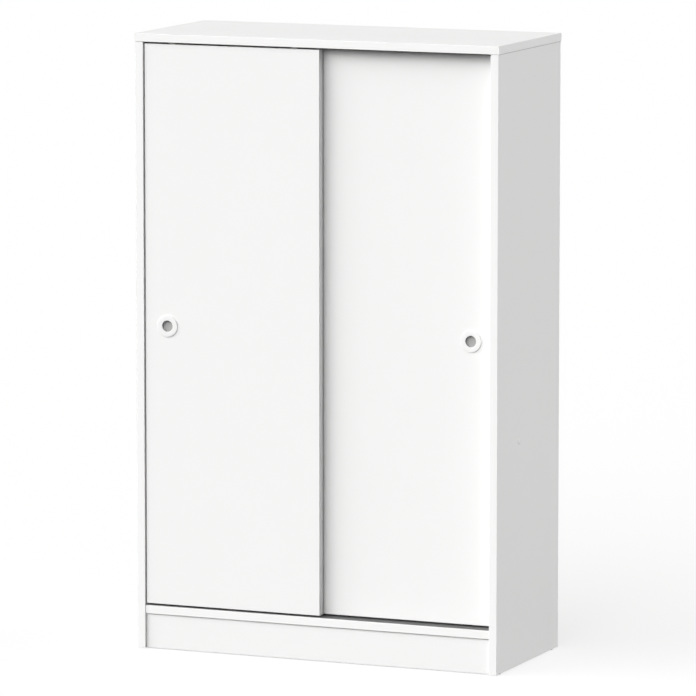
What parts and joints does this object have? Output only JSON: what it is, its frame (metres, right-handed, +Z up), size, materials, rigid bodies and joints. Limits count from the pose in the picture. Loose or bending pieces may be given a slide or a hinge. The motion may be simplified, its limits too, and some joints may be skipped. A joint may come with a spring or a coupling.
{
  "type": "sliding door wardrobe",
  "caption": "White flat-pack wardrobe with overlapping sliding doors on rollers, round finger pulls, a hanging rail, shelves and a recessed plinth.",
  "frame": {"origin": "on the floor, in the middle of the footprint", "axes": "+Z up, +X to the right seen from the front, +Y from the doors to the back"},
  "size_m": [0.753, 0.326, 1.2],
  "materials": {
    "white_board": "white melamine, satin, fine pearl texture",
    "back_board": "hardboard, white inside and raw brown outside",
    "white_plastic": "white moulded plastic",
    "track_plastic": "dark grey extruded plastic",
    "fitting_plastic": "light grey moulded plastic",
    "roller_plastic": "dark grey acetal",
    "spring_plastic": "natural acetal",
    "zinc": "zinc-plated steel",
    "rail_chrome": "chrome-plated steel tube",
    "beech": "beech dowel",
    "bumper": "clear soft polyurethane",
    "glide": "brown-grey plastic"
  },
  "bodies": {
    "carcass": {"top_panel": "white_board", "left_side_panel": "white_board", "right_side_panel": "white_board", "bottom_panel": "white_board", "plinth": "white_board", "fixed_shelf": "white_board", "loose_shelf": "white_board", "left_back_panel": "back_board", "right_back_panel": "back_board", "back_joining_strip": "white_plastic", "front_lower_track": "track_plastic", "rear_lower_track": "track_plastic", "front_upper_track": "track_plastic", "rear_upper_track": "track_plastic", "door_bumpers": "bumper", "hanging_rail": "rail_chrome", "left_rail_bracket": "rail_chrome", "right_rail_bracket": "rail_chrome", "rail_bracket_screws": "zinc", "shelf_pins": "zinc", "shelf_screws": "zinc", "left_screw_cap": "white_plastic", "right_screw_cap": "white_plastic", "cam_locks": "zinc", "cam_bolts": "zinc", "dowels": "beech", "wall_brackets": "zinc", "wall_bracket_screws": "zinc", "plinth_brackets": "zinc", "plinth_bracket_screws": "zinc", "floor_glides": "glide"},
    "front_door": {"front_door_panel": "white_board", "front_door_finger_pull": "white_plastic", "front_door_roller_housings": "fitting_plastic", "front_door_axles": "zinc", "front_door_guide_housings": "fitting_plastic", "front_door_fitting_screws": "zinc", "front_door_left_guide_spring": "spring_plastic", "front_door_right_guide_spring": "spring_plastic"},
    "front_left_roller": {"front_door_left_roller": "roller_plastic"},
    "front_left_guide": {"front_door_left_guide": "spring_plastic"},
    "front_right_roller": {"front_door_right_roller": "roller_plastic"},
    "front_right_guide": {"front_door_right_guide": "spring_plastic"},
    "rear_door": {"rear_door_panel": "white_board", "rear_door_finger_pull": "white_plastic", "rear_door_roller_housings": "fitting_plastic", "rear_door_axles": "zinc", "rear_door_guide_housings": "fitting_plastic", "rear_door_fitting_screws": "zinc", "rear_door_left_guide_spring": "spring_plastic", "rear_door_right_guide_spring": "spring_plastic"},
    "rear_left_roller": {"rear_door_left_roller": "roller_plastic"},
    "rear_left_guide": {"rear_door_left_guide": "spring_plastic"},
    "rear_right_roller": {"rear_door_right_roller": "roller_plastic"},
    "rear_right_guide": {"rear_door_right_guide": "spring_plastic"}
  },
  "joints": [
    {"name": "front_door_slide", "type": "slide", "parent": "carcass", "child": "front_door", "axis": [1, 0, 0], "range_m": [0, 0.349]},
    {"name": "front_left_roller_spin", "type": "hinge", "parent": "front_door", "child": "front_left_roller", "pos_m": [-0.302, -0.15035, 0.09535], "axis": [0, 1, 0], "range_deg": [-5, 1674]},
    {"name": "front_left_guide_press", "type": "slide", "parent": "front_door", "child": "front_left_guide", "axis": [0, 0, 1], "range_m": [-0.0086, 0], "stiffness_N_per_m": 150, "springref_m": 0.012, "deforming": ["front_door_left_guide_spring"]},
    {"name": "front_right_roller_spin", "type": "hinge", "parent": "front_door", "child": "front_right_roller", "pos_m": [-0.047, -0.15035, 0.09535], "axis": [0, 1, 0], "range_deg": [-5, 1674]},
    {"name": "front_right_guide_press", "type": "slide", "parent": "front_door", "child": "front_right_guide", "axis": [0, 0, 1], "range_m": [-0.0086, 0], "stiffness_N_per_m": 150, "springref_m": 0.012, "deforming": ["front_door_right_guide_spring"]},
    {"name": "rear_door_slide", "type": "slide", "parent": "carcass", "child": "rear_door", "axis": [1, 0, 0], "range_m": [-0.349, 0]},
    {"name": "rear_left_roller_spin", "type": "hinge", "parent": "rear_door", "child": "rear_left_roller", "pos_m": [0.047, -0.12635, 0.09535], "axis": [0, 1, 0], "range_deg": [-1674, 5]},
    {"name": "rear_left_guide_press", "type": "slide", "parent": "rear_door", "child": "rear_left_guide", "axis": [0, 0, 1], "range_m": [-0.0086, 0], "stiffness_N_per_m": 150, "springref_m": 0.012, "deforming": ["rear_door_left_guide_spring"]},
    {"name": "rear_right_roller_spin", "type": "hinge", "parent": "rear_door", "child": "rear_right_roller", "pos_m": [0.302, -0.12635, 0.09535], "axis": [0, 1, 0], "range_deg": [-1674, 5]},
    {"name": "rear_right_guide_press", "type": "slide", "parent": "rear_door", "child": "rear_right_guide", "axis": [0, 0, 1], "range_m": [-0.0086, 0], "stiffness_N_per_m": 150, "springref_m": 0.012, "deforming": ["rear_door_right_guide_spring"]}
  ],
  "couplings": [
    {"joint": "front_left_roller_spin", "follows": "front_door_slide", "rad_per_m": 83.333},
    {"joint": "front_right_roller_spin", "follows": "front_door_slide", "rad_per_m": 83.333},
    {"joint": "rear_left_roller_spin", "follows": "rear_door_slide", "rad_per_m": 83.333},
    {"joint": "rear_right_roller_spin", "follows": "rear_door_slide", "rad_per_m": 83.333}
  ]
}
